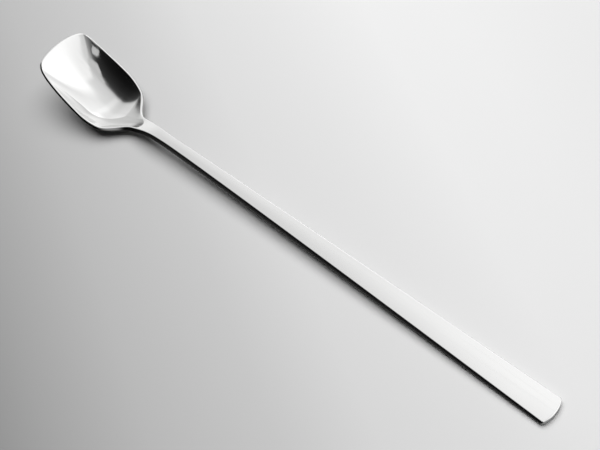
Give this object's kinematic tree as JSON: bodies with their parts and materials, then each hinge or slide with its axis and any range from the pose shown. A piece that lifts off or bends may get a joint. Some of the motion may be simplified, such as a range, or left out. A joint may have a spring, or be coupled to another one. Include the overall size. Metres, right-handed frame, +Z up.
{
  "type": "iced tea spoon",
  "caption": "Long-handled iced tea spoon of polished stainless steel, with a small squared bowl lifted at the tip and a slim handle that widens to a rounded, squared-off end.",
  "frame": {"origin": "middle of the spoon's box in X and Y, on the surface that it rests on", "axes": "+X along the spoon from the tip of the bowl to the handle's end, +Y across it to its left side, +Z up out of the open bowl"},
  "size_m": [0.2002, 0.0246, 0.0181],
  "materials": {
    "stainless_steel": "mirror polished stainless steel with faint lengthwise polishing lines"
  },
  "bodies": {
    "root": {"spoon": "stainless_steel"}
  },
  "joints": []
}
